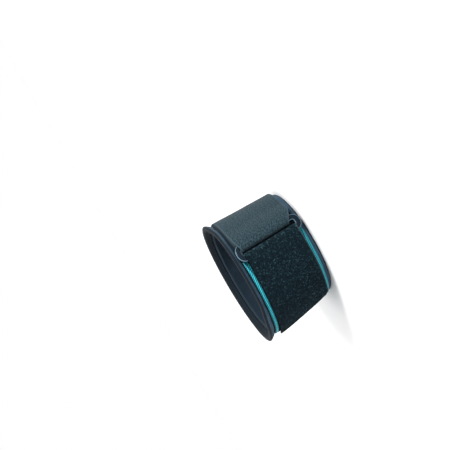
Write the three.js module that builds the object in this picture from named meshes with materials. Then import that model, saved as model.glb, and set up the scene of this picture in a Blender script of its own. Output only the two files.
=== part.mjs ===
// A tennis elbow strap: a padded, bound band round the forearm, drawn tight by a loop-pile strap through a ring.
// Millimetres, +Z up. The band stands on its narrow wrist rim, and the ring faces the front, -Y.
// A turn is an angle in degrees round the band, from the front towards +X. A rise is a height above the
// seat, the tapering oval that the straps lie on. Girth is a length round the seat, from the ring's middle.
import * as THREE from "three";

// The seat: the padded band's outer face where the straps press on it, at its two ends.
const wristWidth = 89.6;
const wristDepth = 83;
const elbowWidth = 98.6;
const elbowDepth = 90.4;
const seatLean = 2.6; // how far its wrist end lies further towards +X than its elbow end

// The padded band and the tape bound over its rims.
const wristMargin = 3.5; // from the wrist rim to the straps' channel
const elbowMargin = 6.4; // from the channel to the elbow rim
const elbowFlare = 5.2; // how far the elbow rim stands out past the seat
const rimWall = 4.8;
const channelWall = 3.4;
const bindingWidth = 4.7;
const bindingWall = 0.9;
const rimRound = 1.6;

// The ring.
const ringTurn = 22;
const slotHeight = 4.8;
const slotPlay = 0.6; // free room at each end of the slot
const barWidth = 5;
const ringEndWidth = 4.9;
const barThickness = 3.4;
const ringCorner = 6.4; // outer corner radius
const slotCorner = 1.4;

// The closure strap, which passes through the ring and doubles back on itself.
const strapWidth = 47.4;
const strapSpread = 1.1; // how much wider it is away from the ring
const strapWall = 1.2;
const strapAnchorTurn = -141;
const strapEndTurn = -79.7;
const strapSettle = 24; // girth in which its outer layer comes down from the ring
const tipRadius = 11.6; // of its free end's corner at the wrist edge
const tipCorner = 4.2; // and of the one at the elbow edge
const tipFree = 29; // the length of the free end that stands off the hook patch
const tipSlant = 14.9; // how much shorter it is along the wrist edge
const tipLift = 0.4; // how far its end stands off along the elbow edge
const tipTwist = 0.5; // how much further it stands off along the wrist edge
const strapLoft = 0.8; // free height between its two layers

// The hook patch under the strap's free end.
const hookWall = 0.5;
const hookLength = 34;
const hookInset = 4;

// The accent band, whose edges show on both sides of the closure strap.
const accentShow = 3.8;
const accentWall = 0.8;
const accentStart = -5.5; // girth of its end, under the ring's lower bar
const accentEndTurn = -150;

// The webbing tab, a doubled band that holds the ring.
const tabGather = 3.4; // how much narrower than the strap it is at the ring
const tabSpread = 8.6; // how much wider it is away from the ring
const tabTaper = 13; // girth in which it widens
const tabShoulder = 1.8; // how suddenly it narrows
const tabShift = 1.8; // how far it is drawn towards the elbow at the ring
const tabWall = 1.3;
const tabEndTurn = 150;
const tabSettle = 22;

// What every piece shares.
const clearance = 0.3;
const facetTurn = 7.5;
const edgeChamfer = 0.35;
const chamferLimit = 0.3; // as a share of the wall

// Sizes that follow from these.
const tabWidth = strapWidth - tabGather;
const accentWidth = strapWidth + 2 * accentShow;
const channelWidth = accentWidth + 2 * clearance;
const channelTop = wristMargin + channelWidth;
const bandHeight = channelTop + elbowMargin;
const strapCentre = wristMargin + channelWidth / 2;
const barOffset = slotHeight / 2 + barWidth / 2;
const strapUnderRise = clearance + accentWall + clearance + strapWall / 2;
const barRise = strapUnderRise + strapWall / 2 + clearance + barThickness / 2;
const strapOuterRise = strapUnderRise + strapWall + strapLoft + clearance;
const tabUnderRise = clearance + tabWall / 2;
const tabOuterRise = tabUnderRise + tabWall + clearance;

const { lerp, clamp, degToRad, smoothstep } = THREE.MathUtils;

const seatWidth = (z) => lerp(wristWidth, elbowWidth, z / bandHeight);
const seatDepth = (z) => lerp(wristDepth, elbowDepth, z / bandHeight);
const seatMiddle = (z) => lerp(seatLean, -seatLean, z / bandHeight) / 2;
const girthPerDegree = degToRad(1) * (seatWidth(strapCentre) / 2 + strapOuterRise);
const turnAt = (girth) => ringTurn + girth / girthPerDegree;
const girthAt = (turn) => (turn - ringTurn) * girthPerDegree;

// A point at a turn and a height z, a rise above the seat.
function place(turn, z, rise) {
  const angle = degToRad(turn);
  const halfWidth = seatWidth(z) / 2;
  const halfDepth = seatDepth(z) / 2;
  const out = new THREE.Vector2(halfDepth * Math.sin(angle), -halfWidth * Math.cos(angle)).normalize();
  return new THREE.Vector3(
    seatMiddle(z) + halfWidth * Math.sin(angle) + out.x * rise,
    -halfDepth * Math.cos(angle) + out.y * rise,
    z,
  );
}

// Turns from one to another, on the steps that every piece shares so that facets lie flat on each other.
function turnsBetween(from, to) {
  const low = Math.min(from, to);
  const high = Math.max(from, to);
  const turns = [low];
  const shortest = facetTurn / 3;
  for (let t = Math.ceil((low + shortest) / facetTurn) * facetTurn; t < high - shortest; t += facetTurn) {
    turns.push(t);
  }
  turns.push(high);
  return from < to ? turns : turns.reverse();
}

// A closed solid through sections that hold equally many points. Convex end sections are capped,
// and a closed loft joins its last section to its first.
function loft(sections, closed) {
  const count = sections[0].length;
  const positions = sections.flat().flatMap((p) => p.toArray());
  const index = [];
  const spans = closed ? sections.length : sections.length - 1;
  for (let s = 0; s < spans; s++) {
    const here = s * count;
    const next = ((s + 1) % sections.length) * count;
    for (let i = 0; i < count; i++) {
      const j = (i + 1) % count;
      index.push(here + i, next + i, here + j, here + j, next + i, next + j);
    }
  }
  if (!closed) {
    const last = (sections.length - 1) * count;
    for (let i = 1; i < count - 1; i++) {
      index.push(0, i, i + 1);
      index.push(last, last + i + 1, last + i);
    }
  }
  const geometry = new THREE.BufferGeometry();
  geometry.setAttribute("position", new THREE.Float32BufferAttribute(positions, 3));
  geometry.setIndex(index);
  geometry.computeVertexNormals();
  return geometry;
}

// The padded wall from the wrist rim up: the outer face's rise and the wall's thickness.
// Shares are of the margin, the flare and what the rim's wall has over the channel's.
const innerRun = 8; // height in which the wall thins beyond a binding
const thicken = (share) => channelWall + (rimWall - channelWall) * share;
const wallRows = [
  { z: 0, rise: 0, wall: rimWall },
  { z: bindingWidth + clearance, rise: 0, wall: thicken(0.6) },
  { z: bindingWidth + innerRun, rise: 0, wall: channelWall },
  { z: channelTop - innerRun, rise: 0, wall: channelWall },
  { z: channelTop, rise: 0, wall: thicken(0.2) },
  { z: channelTop + elbowMargin * 0.2, rise: elbowFlare * 0.37, wall: thicken(0.75) },
  { z: bandHeight, rise: elbowFlare, wall: rimWall },
];

// The rises of the wall's two faces at a height.
function wallAt(z) {
  const above = Math.max(1, wallRows.findIndex((row) => row.z >= z - 1e-9));
  const low = wallRows[above - 1];
  const high = wallRows[above];
  const share = (z - low.z) / (high.z - low.z);
  const outer = lerp(low.rise, high.rise, share);
  return { outer, inner: outer - lerp(low.wall, high.wall, share) };
}

// Sections all the way round, each the same outline of { z, rise } points.
function roundSections(outline) {
  const sections = [];
  for (let turn = 0; turn < 360; turn += facetTurn) {
    sections.push(outline.map(({ z, rise }) => place(turn, z, rise)));
  }
  return sections;
}

// The foam wall. Under the bindings it is thinner by their walls and a clearance on both faces.
function paddedBand() {
  const inset = bindingWall + clearance;
  const boundTo = bindingWidth + clearance;
  const stepRun = 0.7;
  const nip = rimRound - inset; // the rounding of the foam's own rim
  const squeezes = [
    { z: inset, squeeze: inset + nip },
    { z: rimRound, squeeze: inset },
    { z: boundTo, squeeze: inset },
    { z: boundTo + stepRun, squeeze: 0 },
  ];
  const rows = [
    ...squeezes,
    ...squeezes.map(({ z, squeeze }) => ({ z: bandHeight - z, squeeze })),
    ...wallRows
      .filter(({ z }) => z > boundTo + stepRun && z < bandHeight - boundTo - stepRun)
      .map(({ z }) => ({ z, squeeze: 0 })),
  ].sort((a, b) => a.z - b.z);
  const outerFace = rows.map(({ z, squeeze }) => ({ z, rise: wallAt(z).outer - squeeze }));
  const innerFace = rows.map(({ z, squeeze }) => ({ z, rise: wallAt(z).inner + squeeze }));
  return loft(roundSections([...outerFace, ...innerFace.reverse()]), true);
}

// The tape folded over a rim, seen in section: outside, round the rim, inside, and back within its wall.
// The rim's own end is flat between its two rounded corners, so that the band can stand on it.
function binding(atElbow) {
  const up = (depth) => (atElbow ? bandHeight - depth : depth);
  const corner = (face, radius) => {
    const points = [];
    for (const angle of [0, 45, 90]) {
      const z = up(rimRound - radius * Math.sin(degToRad(angle)));
      const drop = rimRound - radius * Math.cos(degToRad(angle));
      const faces = wallAt(z);
      points.push({ z, rise: face === "outer" ? faces.outer - drop : faces.inner + drop });
    }
    return points;
  };
  const edge = up(bindingWidth);
  const faces = wallAt(edge);
  const within = rimRound - bindingWall;
  const outline = [
    { z: edge, rise: faces.outer },
    ...corner("outer", rimRound),
    ...corner("inner", rimRound).reverse(),
    { z: edge, rise: faces.inner },
    { z: edge, rise: faces.inner + bindingWall },
    ...corner("inner", within),
    ...corner("outer", within).reverse(),
    { z: edge, rise: faces.outer - bindingWall },
  ];
  return loft(roundSections(atElbow ? outline : outline.reverse()), true);
}

// A band of cloth along a path of { girth, rise, low, high } points: its middle layer, and its edges' heights.
// Slant and twist, where a point has them, move its low edge back along the girth and further up.
// Its section is flat with chamfered edges, square to the path.
function clothBand(path, wall) {
  const half = wall / 2;
  const sections = path.map((point, i) => {
    const { girth, rise, low, high, slant = 0, twist = 0 } = point;
    const before = path[Math.max(0, i - 1)];
    const after = path[Math.min(path.length - 1, i + 1)];
    const along = new THREE.Vector2(after.girth - before.girth, after.rise - before.rise).normalize();
    const at = (z, off) => {
      const share = (high - z) / (high - low);
      return place(turnAt(girth + slant * share - along.y * off), z, rise + twist * share + along.x * off);
    };
    const nip = Math.min(edgeChamfer, wall * chamferLimit);
    return [
      at(low, -half + nip),
      at(low, half - nip),
      at(low + nip, half),
      at(high - nip, half),
      at(high, half - nip),
      at(high, -half + nip),
      at(high - nip, -half),
      at(low + nip, -half),
    ];
  });
  return loft(sections, false);
}

// Half a turn of cloth round one of the ring's bars, from under it, through the slot and over it.
// Side is 1 for the upper bar and -1 for the lower one.
function roundBar(side, wall) {
  const reach = barWidth / 2 + clearance + wall / 2;
  const lift = barThickness / 2 + clearance + wall / 2;
  const points = [];
  for (let angle = -90; angle <= 90; angle += 22.5) {
    points.push({
      girth: side * (barOffset - reach * Math.cos(degToRad(angle))),
      rise: barRise + lift * Math.sin(degToRad(angle)),
    });
  }
  return points;
}

// Points along a girth whose rise eases from one value to another, from the first step to the end.
function easing(fromGirth, toGirth, fromRise, toRise) {
  const count = 4;
  const points = [];
  for (let i = 1; i <= count; i++) {
    const share = i / count;
    points.push({
      girth: lerp(fromGirth, toGirth, share),
      rise: lerp(fromRise, toRise, smoothstep(share, 0, 1)),
    });
  }
  return points;
}

// Points on the shared steps between two girths, ends included, at one rise.
function run(fromGirth, toGirth, rise) {
  return turnsBetween(turnAt(fromGirth), turnAt(toGirth)).map((turn) => ({ girth: girthAt(turn), rise }));
}

const centred = (width) => ({ low: strapCentre - width / 2, high: strapCentre + width / 2 });

const strapWidthAt = (girth) =>
  strapWidth + strapSpread * smoothstep(Math.abs(girth), barOffset + barWidth, barOffset + strapSettle);

// How far a rounded corner draws an edge in at a length from the end.
function cornerInset(radius, fromEnd) {
  const share = clamp(1 - fromEnd / radius, 0, 1);
  return radius * (1 - Math.sqrt(1 - share ** 2));
}

function closureStrap() {
  const bend = roundBar(-1, strapWall);
  const leave = bend[bend.length - 1];
  const settled = leave.girth - strapSettle;
  const tipGirth = girthAt(strapEndTurn);
  const corner = [22.5, 45, 67.5, 90].map((angle) => ({
    girth: tipGirth + tipRadius * (1 - Math.sin(degToRad(angle))),
    rise: strapOuterRise,
  }));
  const path = [
    ...run(girthAt(strapAnchorTurn), -barOffset, strapUnderRise).slice(0, -1),
    ...bend,
    ...easing(leave.girth, settled, leave.rise, strapOuterRise),
    ...run(settled, tipGirth + tipFree, strapOuterRise).slice(1),
    ...run(tipGirth + tipFree, tipGirth + tipRadius, strapOuterRise).slice(1),
    ...corner,
  ];
  const outer = path.indexOf(leave);
  return clothBand(
    path.map(({ girth, rise }, i) => {
      const fromEnd = i > outer ? girth - tipGirth : Infinity;
      const free = clamp(1 - fromEnd / tipFree, 0, 1);
      const { low, high } = centred(strapWidthAt(girth));
      return {
        girth,
        rise: rise + tipLift * free ** 2,
        low: low + cornerInset(tipRadius, fromEnd),
        high: high - cornerInset(tipCorner, fromEnd),
        slant: tipSlant * free,
        twist: tipTwist * free ** 2,
      };
    }),
    strapWall,
  );
}

function hookPatch() {
  const rise = strapUnderRise + strapWall / 2 + clearance + hookWall / 2;
  const end = girthAt(strapEndTurn) + tipFree;
  const edges = centred(strapWidth + strapSpread - 2 * hookInset);
  const path = run(end + hookLength, end, rise).map((point) => ({ ...point, ...edges }));
  return clothBand(path, hookWall);
}

function accentBand() {
  const rise = clearance + accentWall / 2;
  const edges = centred(accentWidth);
  const path = run(accentStart, girthAt(accentEndTurn), rise).map((point) => ({ ...point, ...edges }));
  return clothBand(path.reverse(), accentWall);
}

function webbingTab() {
  const bend = roundBar(1, tabWall);
  const enter = bend[0];
  const leave = bend[bend.length - 1];
  const settled = barOffset + tabSettle;
  const path = [
    ...run(girthAt(tabEndTurn), settled, tabUnderRise),
    ...easing(settled, enter.girth, tabUnderRise, enter.rise).slice(0, -1),
    ...bend,
    ...easing(leave.girth, settled, leave.rise, tabOuterRise),
    ...run(settled, girthAt(tabEndTurn), tabOuterRise).slice(1),
  ];
  return clothBand(
    path.reverse().map((point) => {
      const away = clamp((point.girth - slotHeight / 2) / tabTaper, 0, 1);
      const gathered = (1 - away) ** tabShoulder;
      const { low, high } = centred(tabWidth + tabSpread * (1 - gathered));
      const shift = tabShift * gathered;
      return { ...point, low: low + shift, high: high + shift };
    }),
    tabWall,
  );
}

// The ring: a rounded oblong with a slot, its section a flattened octagon that is wider at the two ends.
function ring() {
  const slotLength = strapWidth + 2 * slotPlay;
  const outer = { girth: slotHeight / 2 + barWidth, z: slotLength / 2 + ringEndWidth, radius: ringCorner };
  const slot = { girth: slotHeight / 2, z: slotLength / 2, radius: slotCorner };
  const nip = barThickness * 0.33;
  const sections = [];
  for (const [quarter, sideG, sideZ] of [[0, 1, 1], [1, -1, 1], [2, -1, -1], [3, 1, -1]]) {
    for (let angle = 0; angle <= 90; angle += 22.5) {
      const outward = degToRad(quarter * 90 + angle);
      const [outside, inside] = [outer, slot].map(({ girth, z, radius }) => ({
        girth: sideG * (girth - radius) + radius * Math.cos(outward),
        z: sideZ * (z - radius) + radius * Math.sin(outward),
      }));
      const across = Math.hypot(outside.girth - inside.girth, outside.z - inside.z);
      const at = (share, off) =>
        place(
          turnAt(lerp(inside.girth, outside.girth, share)),
          strapCentre + lerp(inside.z, outside.z, share),
          barRise + off,
        );
      const half = barThickness / 2;
      const near = (barWidth * 0.3) / across;
      sections.push([
        at(near, -half),
        at(1 - near, -half),
        at(1, -half + nip),
        at(1, half - nip),
        at(1 - near, half),
        at(near, half),
        at(0, half - nip),
        at(0, -half + nip),
      ]);
    }
  }
  return loft(sections, true);
}

const cloth = (color, roughness) => new THREE.MeshStandardMaterial({ color, roughness, metalness: 0 });
const navyFoam = cloth(0x242d38, 0.95);
const navyTape = cloth(0x20262f, 0.85);
const turquoise = cloth(0x19a3b0, 0.8);
const greyWebbing = cloth(0x44565c, 0.9);
const darkPile = cloth(0x13212a, 1);
const hookTape = cloth(0x11161b, 0.7);
const blackPlastic = new THREE.MeshStandardMaterial({ color: 0x10161b, roughness: 0.25, metalness: 0 });

const pieces = [
  ["padded_band", paddedBand(), navyFoam],
  ["wrist_binding", binding(false), navyTape],
  ["elbow_binding", binding(true), navyTape],
  ["accent_band", accentBand(), turquoise],
  ["ring", ring(), blackPlastic],
  ["webbing_tab", webbingTab(), greyWebbing],
  ["closure_strap", closureStrap(), darkPile],
  ["hook_patch", hookPatch(), hookTape],
];

const strap = new THREE.Group();
for (const [name, geometry, material] of pieces) {
  const mesh = new THREE.Mesh(geometry, material);
  mesh.name = name;
  strap.add(mesh);
}

// The origin is under the middle of the whole strap's box, at the wrist rim.
const middle = new THREE.Box3().setFromObject(strap).getCenter(new THREE.Vector3());
strap.position.set(-middle.x, -middle.y, 0);

const part = new THREE.Group();
part.add(strap);

export default part;
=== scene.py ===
import math

import bpy
import numpy as np
from mathutils import Matrix, Vector, noise


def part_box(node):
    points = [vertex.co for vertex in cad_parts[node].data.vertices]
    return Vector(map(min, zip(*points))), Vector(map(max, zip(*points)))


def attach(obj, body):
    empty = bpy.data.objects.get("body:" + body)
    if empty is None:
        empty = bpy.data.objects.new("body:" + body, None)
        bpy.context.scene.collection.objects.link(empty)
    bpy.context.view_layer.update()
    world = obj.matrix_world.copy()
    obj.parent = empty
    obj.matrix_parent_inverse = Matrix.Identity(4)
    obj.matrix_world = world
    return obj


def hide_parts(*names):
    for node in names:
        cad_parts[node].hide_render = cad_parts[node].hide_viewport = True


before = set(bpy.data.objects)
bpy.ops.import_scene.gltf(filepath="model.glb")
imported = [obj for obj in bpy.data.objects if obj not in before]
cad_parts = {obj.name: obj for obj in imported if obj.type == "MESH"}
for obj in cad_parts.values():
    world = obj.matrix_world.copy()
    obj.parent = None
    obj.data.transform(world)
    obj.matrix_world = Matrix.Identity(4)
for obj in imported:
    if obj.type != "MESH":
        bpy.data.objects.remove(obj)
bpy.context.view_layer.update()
print("frame loaded")

# Lengths are in millimetres until a point is placed. A turn is an angle round the band, from the front
# towards +X. A rise is a height above the seat, the tapering oval that the straps lie on. Girth is a
# length round the seat, from the ring's middle. The strap stands on its wrist rim.
mm = 0.001
chance = np.random.default_rng(11)

seat = {
    "wristWidth": 89.6,
    "wristDepth": 83.0,
    "elbowWidth": 98.6,
    "elbowDepth": 90.4,
    "lean": 2.6,  # how far its wrist end lies further towards +X
    "clearance": 0.3,  # between any two pieces
    "measuredRise": 4.3,  # the rise at which girths are measured
}

ring = {
    "turn": 22.0,
    "slotHeight": 4.8,
    "slotLength": 48.6,
    "slotCorner": 1.4,
    "barWidth": 5.0,
    "endWidth": 4.9,
    "thickness": 3.4,
    "rise": 4.6,  # of its bars' middle
    "edge": 1.15,  # rounding of its bars
    "cuts": 15,  # across it, so that it can follow the seat
    "colour": (0.001, 0.007, 0.014, 1),
    "highlightColour": (0.115, 0.19, 0.24, 1),  # painted highlight, paler than the plastic
    "slotHighlight": 0.7,  # how much of that shows on its slot's edges
    "highlighted": (0.15, 0.6),  # where that begins and ends, as shares of the rounding
}

rimLow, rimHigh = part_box("elbow_binding")
axisX = (rimLow[0] + rimHigh[0]) / 2
axisY = (rimLow[1] + rimHigh[1]) / 2
bandHeight = rimHigh[2] / mm
accentLow, accentHigh = (corner[2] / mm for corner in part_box("accent_band"))
strapCentre = (accentLow + accentHigh) / 2
pathStep = 1.2  # between samples along the cloth


def mix(low, high, share):
    return low + (high - low) * share


def smooth(value, start, end):
    share = np.clip((value - start) / (end - start), 0, 1)
    return share * share * (3 - 2 * share)


def seatAt(height):
    share = height / bandHeight
    halfWidth = mix(seat["wristWidth"], seat["elbowWidth"], share) / 2
    halfDepth = mix(seat["wristDepth"], seat["elbowDepth"], share) / 2
    return halfWidth, halfDepth


girthPerDegree = math.radians(1) * (seatAt(strapCentre)[0] + seat["measuredRise"])


def turnOf(girth):
    return ring["turn"] + girth / girthPerDegree


def girthOf(turn):
    return (turn - ring["turn"]) * girthPerDegree


# The place of points given by turn, height and rise, in metres
def onSeat(turn, height, rise):
    angle = np.radians(turn)
    halfWidth, halfDepth = seatAt(height)
    outX = halfDepth * np.sin(angle)
    outY = -halfWidth * np.cos(angle)
    outLength = np.hypot(outX, outY)
    middle = seat["lean"] * (1 - height / bandHeight)
    x = middle + halfWidth * np.sin(angle) + outX / outLength * rise
    y = -halfDepth * np.cos(angle) + outY / outLength * rise
    z = height + 0 * x
    return np.stack([axisX + x * mm, axisY + y * mm, z * mm], -1)


# Soft unevenness between -1 and 1, the same on each run
def unevenness(x, y, size, seed=0.0):
    flatX, flatY = np.broadcast_arrays(x, y)
    values = [
        noise.noise(Vector((a / size, b / size, seed))) for a, b in zip(flatX.ravel(), flatY.ravel())
    ]
    return np.array(values).reshape(flatX.shape) * 2


# The same round the closed band, where a turn of 360 degrees meets 0
def roundUnevenness(turn, height, size, seed=0.0):
    turn, height = np.broadcast_arrays(turn, height)
    angle = np.radians(turn)
    radius = seat["elbowWidth"] / 2 / size
    points = zip((np.sin(angle) * radius).ravel(), (np.cos(angle) * radius).ravel(), height.ravel() / size)
    values = [noise.noise(Vector((a, b, c + seed))) for a, b, c in points]
    return np.array(values).reshape(turn.shape) * 2


def deselectAll():
    if bpy.context.object and bpy.context.object.mode != "OBJECT":
        bpy.ops.object.mode_set(mode="OBJECT")
    bpy.ops.object.select_all(action="DESELECT")


def activate(piece):
    deselectAll()
    piece.select_set(True)
    bpy.context.view_layer.objects.active = piece


def named(name):
    piece = bpy.context.object
    piece.name = name
    piece.data.name = name
    return piece


def pointsOf(piece):
    flat = np.empty(len(piece.data.vertices) * 3)
    piece.data.vertices.foreach_get("co", flat)
    return flat.reshape(-1, 3)


def setPoints(piece, points):
    piece.data.vertices.foreach_set("co", np.asarray(points, dtype=float).ravel())
    piece.data.update()


def setAttribute(piece, name, values):
    layer = piece.data.attributes.new(name, "FLOAT", "POINT")
    layer.data.foreach_set("value", np.array(values, dtype=float))


def addObject(name, data):
    added = bpy.data.objects.new(name, data)
    bpy.context.scene.collection.objects.link(added)
    return added


def addModifier(piece, kind, **settings):
    activate(piece)
    modifier = piece.modifiers.new(kind.title(), kind)
    for key, value in settings.items():
        setattr(modifier, key, value)
    bpy.ops.object.modifier_apply(modifier=modifier.name)


def closeMesh(piece, fillEnds=False):
    activate(piece)
    bpy.ops.object.mode_set(mode="EDIT")
    bpy.ops.mesh.select_all(action="SELECT")
    bpy.ops.mesh.remove_doubles(threshold=1e-6)
    if fillEnds:
        bpy.ops.mesh.fill_holes(sides=0)
        bpy.ops.mesh.select_all(action="SELECT")
    bpy.ops.mesh.normals_make_consistent(inside=False)
    bpy.ops.object.mode_set(mode="OBJECT")


def smoothShade(piece, angle=60):
    activate(piece)
    bpy.ops.object.shade_smooth_by_angle(angle=math.radians(angle))


def roundEdges(piece, width, segments):
    addModifier(
        piece, "BEVEL", width=width, segments=segments, limit_method="ANGLE", angle_limit=math.radians(60)
    )


# A flat grid whose columns and rows are then laid on the given places. Its UV map holds the cloth's own
# lengths in decimetres, and fromEdge how far it is to a cut edge or from a rolled one's painted highlight.
def gridPiece(name, places, alongLength, acrossLength, fromEdge=None):
    columns, rows = places.shape[:2]
    deselectAll()
    bpy.ops.mesh.primitive_grid_add(x_subdivisions=columns - 1, y_subdivisions=rows - 1, size=2)
    piece = named(name)
    share = (pointsOf(piece)[:, :2] + 1) / 2
    column = np.rint(share[:, 0] * (columns - 1)).astype(int)
    row = np.rint(share[:, 1] * (rows - 1)).astype(int)

    def onPoints(values):
        return np.broadcast_to(values, (columns, rows))[column, row]

    mesh = piece.data
    corner = np.empty(len(mesh.loops), dtype=int)
    mesh.loops.foreach_get("vertex_index", corner)
    uv = np.stack([onPoints(alongLength)[corner], onPoints(acrossLength)[corner]], -1) / 100
    mesh.uv_layers.active.data.foreach_set("uv", uv.ravel())
    mesh.uv_layers.active.name = "cloth"
    if fromEdge is not None:
        setAttribute(piece, "fromEdge", onPoints(fromEdge))
    setPoints(piece, places[column, row])
    return piece


def unit(vectors):
    return vectors / np.linalg.norm(vectors, axis=-1, keepdims=True)


# The three directions of stitches or loops, as each one's matrix
def facing(along, out):
    along = unit(along)
    out = unit(out - along * (out * along).sum(-1, keepdims=True))
    return np.stack([along, np.cross(out, along), out], -1)


# Many copies of one small model in a single mesh, each turned, scaled and put in its place
def copiesOf(model, name, place, turnings, shade):
    base = pointsOf(model)
    count = len(place)
    points = np.einsum("nij,kj->nki", turnings, base) + place[:, None, :]
    corners = [list(face.vertices) for face in model.data.polygons]
    faces = [[i + n * len(base) for i in face] for n in range(count) for face in corners]
    mesh = bpy.data.meshes.new(name)
    mesh.from_pydata(points.reshape(-1, 3).tolist(), [], faces)
    piece = addObject(name, mesh)
    setAttribute(piece, "shade", np.repeat(shade, len(base)))
    bpy.data.objects.remove(model)
    return piece


# A short bar along X whose two ends dip, the model of a stitch or a loop of pile
def arch(sides, length, radius, dip):
    barShare = 0.6  # of its length, and the rest is in the two tips
    deselectAll()
    bpy.ops.mesh.primitive_cylinder_add(
        vertices=sides, radius=radius, depth=length * barShare, end_fill_type="TRIFAN",
        rotation=(0, math.pi / 2, 0),
    )
    piece = named("arch")
    bpy.ops.object.transform_apply(location=True, rotation=True, scale=True)
    for side in (-1, 1):
        bpy.ops.object.mode_set(mode="OBJECT")
        points = pointsOf(piece)
        atEnd = points[:, 0] * side > length * (barShare / 2 - 0.01)
        onAxis = np.hypot(points[:, 1], points[:, 2]) < radius * 0.1
        for vertex, chosen in zip(piece.data.vertices, atEnd & onAxis):
            vertex.select = bool(chosen)
        bpy.ops.object.mode_set(mode="EDIT")
        bpy.ops.mesh.select_mode(type="VERT")
        bpy.ops.transform.translate(value=(side * length * (1 - barShare) / 2, 0, -dip))
        bpy.ops.mesh.select_all(action="DESELECT")
    bpy.ops.object.mode_set(mode="OBJECT")
    return piece


# Materials
white = (1, 1, 1, 1)
black = (0, 0, 0, 1)
shine = 0.12  # specular level of each finish


def newMaterial(name):
    material = bpy.data.materials.new(name)
    material.use_nodes = True
    tree = material.node_tree
    return material, tree, tree.nodes["Principled BSDF"]


def addNode(tree, kind, inputs=(), **settings):
    node = tree.nodes.new(kind)
    for key, value in settings.items():
        setattr(node, key, value)
    for key, value in dict(inputs).items():
        if isinstance(value, bpy.types.NodeSocket):
            tree.links.new(value, node.inputs[key])
        else:
            node.inputs[key].default_value = value
    return node


def mapped(tree, vector, **inputs):
    return addNode(tree, "ShaderNodeMapping", {"Vector": vector, **inputs}).outputs["Vector"]


# The cloth's own lengths in millimetres, from its UV map
def clothLengths(tree):
    coords = addNode(tree, "ShaderNodeUVMap", uv_map="cloth").outputs["UV"]
    return mapped(tree, coords, Scale=(100, 100, 100))


# The place on the object in millimetres
def placeLengths(tree):
    coords = addNode(tree, "ShaderNodeTexCoord").outputs["Object"]
    return mapped(tree, coords, Scale=(1000, 1000, 1000))


# Bands of a period in millimetres. At a scale of 1 the wave texture's are 0.314 apart.
def bands(tree, vector, direction, period, distortion=0.0):
    return addNode(
        tree, "ShaderNodeTexWave",
        {"Vector": vector, "Scale": 0.314 / period, "Distortion": distortion, "Detail": 1.0},
        bands_direction=direction,
    ).outputs["Fac"]


def noiseOf(tree, vector, size, detail=2.0, roughness=0.5):
    return addNode(
        tree, "ShaderNodeTexNoise",
        {"Vector": vector, "Scale": 1 / size, "Detail": detail, "Roughness": roughness},
    ).outputs["Fac"]


# Threads that cross: bands along the cloth's length times bands across it
def crossed(tree, lengths, alongPitch, acrossPitch, distortion=0.4):
    along = bands(tree, lengths, "X", alongPitch, distortion)
    across = bands(tree, lengths, "Y", acrossPitch, distortion)
    return calculate(tree, "MULTIPLY", along, across)


def attributeOf(tree, name):
    return addNode(tree, "ShaderNodeAttribute", attribute_name=name).outputs["Fac"]


def calculate(tree, operation, first, second):
    return addNode(tree, "ShaderNodeMath", {0: first, 1: second}, operation=operation).outputs[0]


def ramp(tree, factor, stops):
    node = addNode(tree, "ShaderNodeValToRGB", {"Fac": factor})
    elements = node.color_ramp.elements
    while len(elements) < len(stops):
        elements.new(0.5)
    for element, (position, colour) in zip(elements, stops):
        element.position = position
        element.color = colour
    return node.outputs["Color"]


def blendColours(tree, factor, first, second, mode="MIX"):
    node = addNode(tree, "ShaderNodeMix", data_type="RGBA", blend_type=mode)
    for socket, value in ((node.inputs[0], factor), (node.inputs[6], first), (node.inputs[7], second)):
        if isinstance(value, bpy.types.NodeSocket):
            tree.links.new(value, socket)
        else:
            socket.default_value = value
    return node.outputs[2]


def multiplied(tree, first, second):
    return blendColours(tree, 1.0, first, second, "MULTIPLY")


# A ramp over a length: its stops are lengths from 0 to span
def rampOver(tree, length, span, stops):
    share = calculate(tree, "MULTIPLY", length, 1 / span)
    return ramp(tree, share, [(place / span, colour) for place, colour in stops])


def matt(tree, shader, colour, roughness, sheen=0.0):
    tree.links.new(colour, shader.inputs["Base Color"])
    shader.inputs["Roughness"].default_value = roughness
    shader.inputs["Specular IOR Level"].default_value = shine
    shader.inputs["Sheen Weight"].default_value = sheen
    shader.inputs["Sheen Roughness"].default_value = 0.5


def bump(tree, shader, height, strength, distance):
    inputs = {"Height": height, "Strength": strength, "Distance": distance * mm}
    node = addNode(tree, "ShaderNodeBump", inputs)
    tree.links.new(node.outputs["Normal"], shader.inputs["Normal"])


def shadeOf(colour, factor):
    return tuple(channel * factor for channel in colour[:3]) + (1,)


def greyOf(value):
    return value, value, value, 1


# A knitted face over foam: fine upright ribs crossed by rows of loops
def knitMaterial(name, colour, rib, row, sheen):
    material, tree, shader = newMaterial(name)
    lengths = clothLengths(tree)
    loops = crossed(tree, lengths, rib, row)
    cloudy = noiseOf(tree, lengths, size=9, detail=3)
    faded = ramp(tree, cloudy, [(0.3, shadeOf(colour, 0.78)), (0.7, shadeOf(colour, 1.25))])
    base = blendColours(tree, loops, shadeOf(colour, 0.5), faded)
    matt(tree, shader, base, 0.85, sheen)
    bump(tree, shader, loops, strength=0.5, distance=0.25)
    return material
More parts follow.
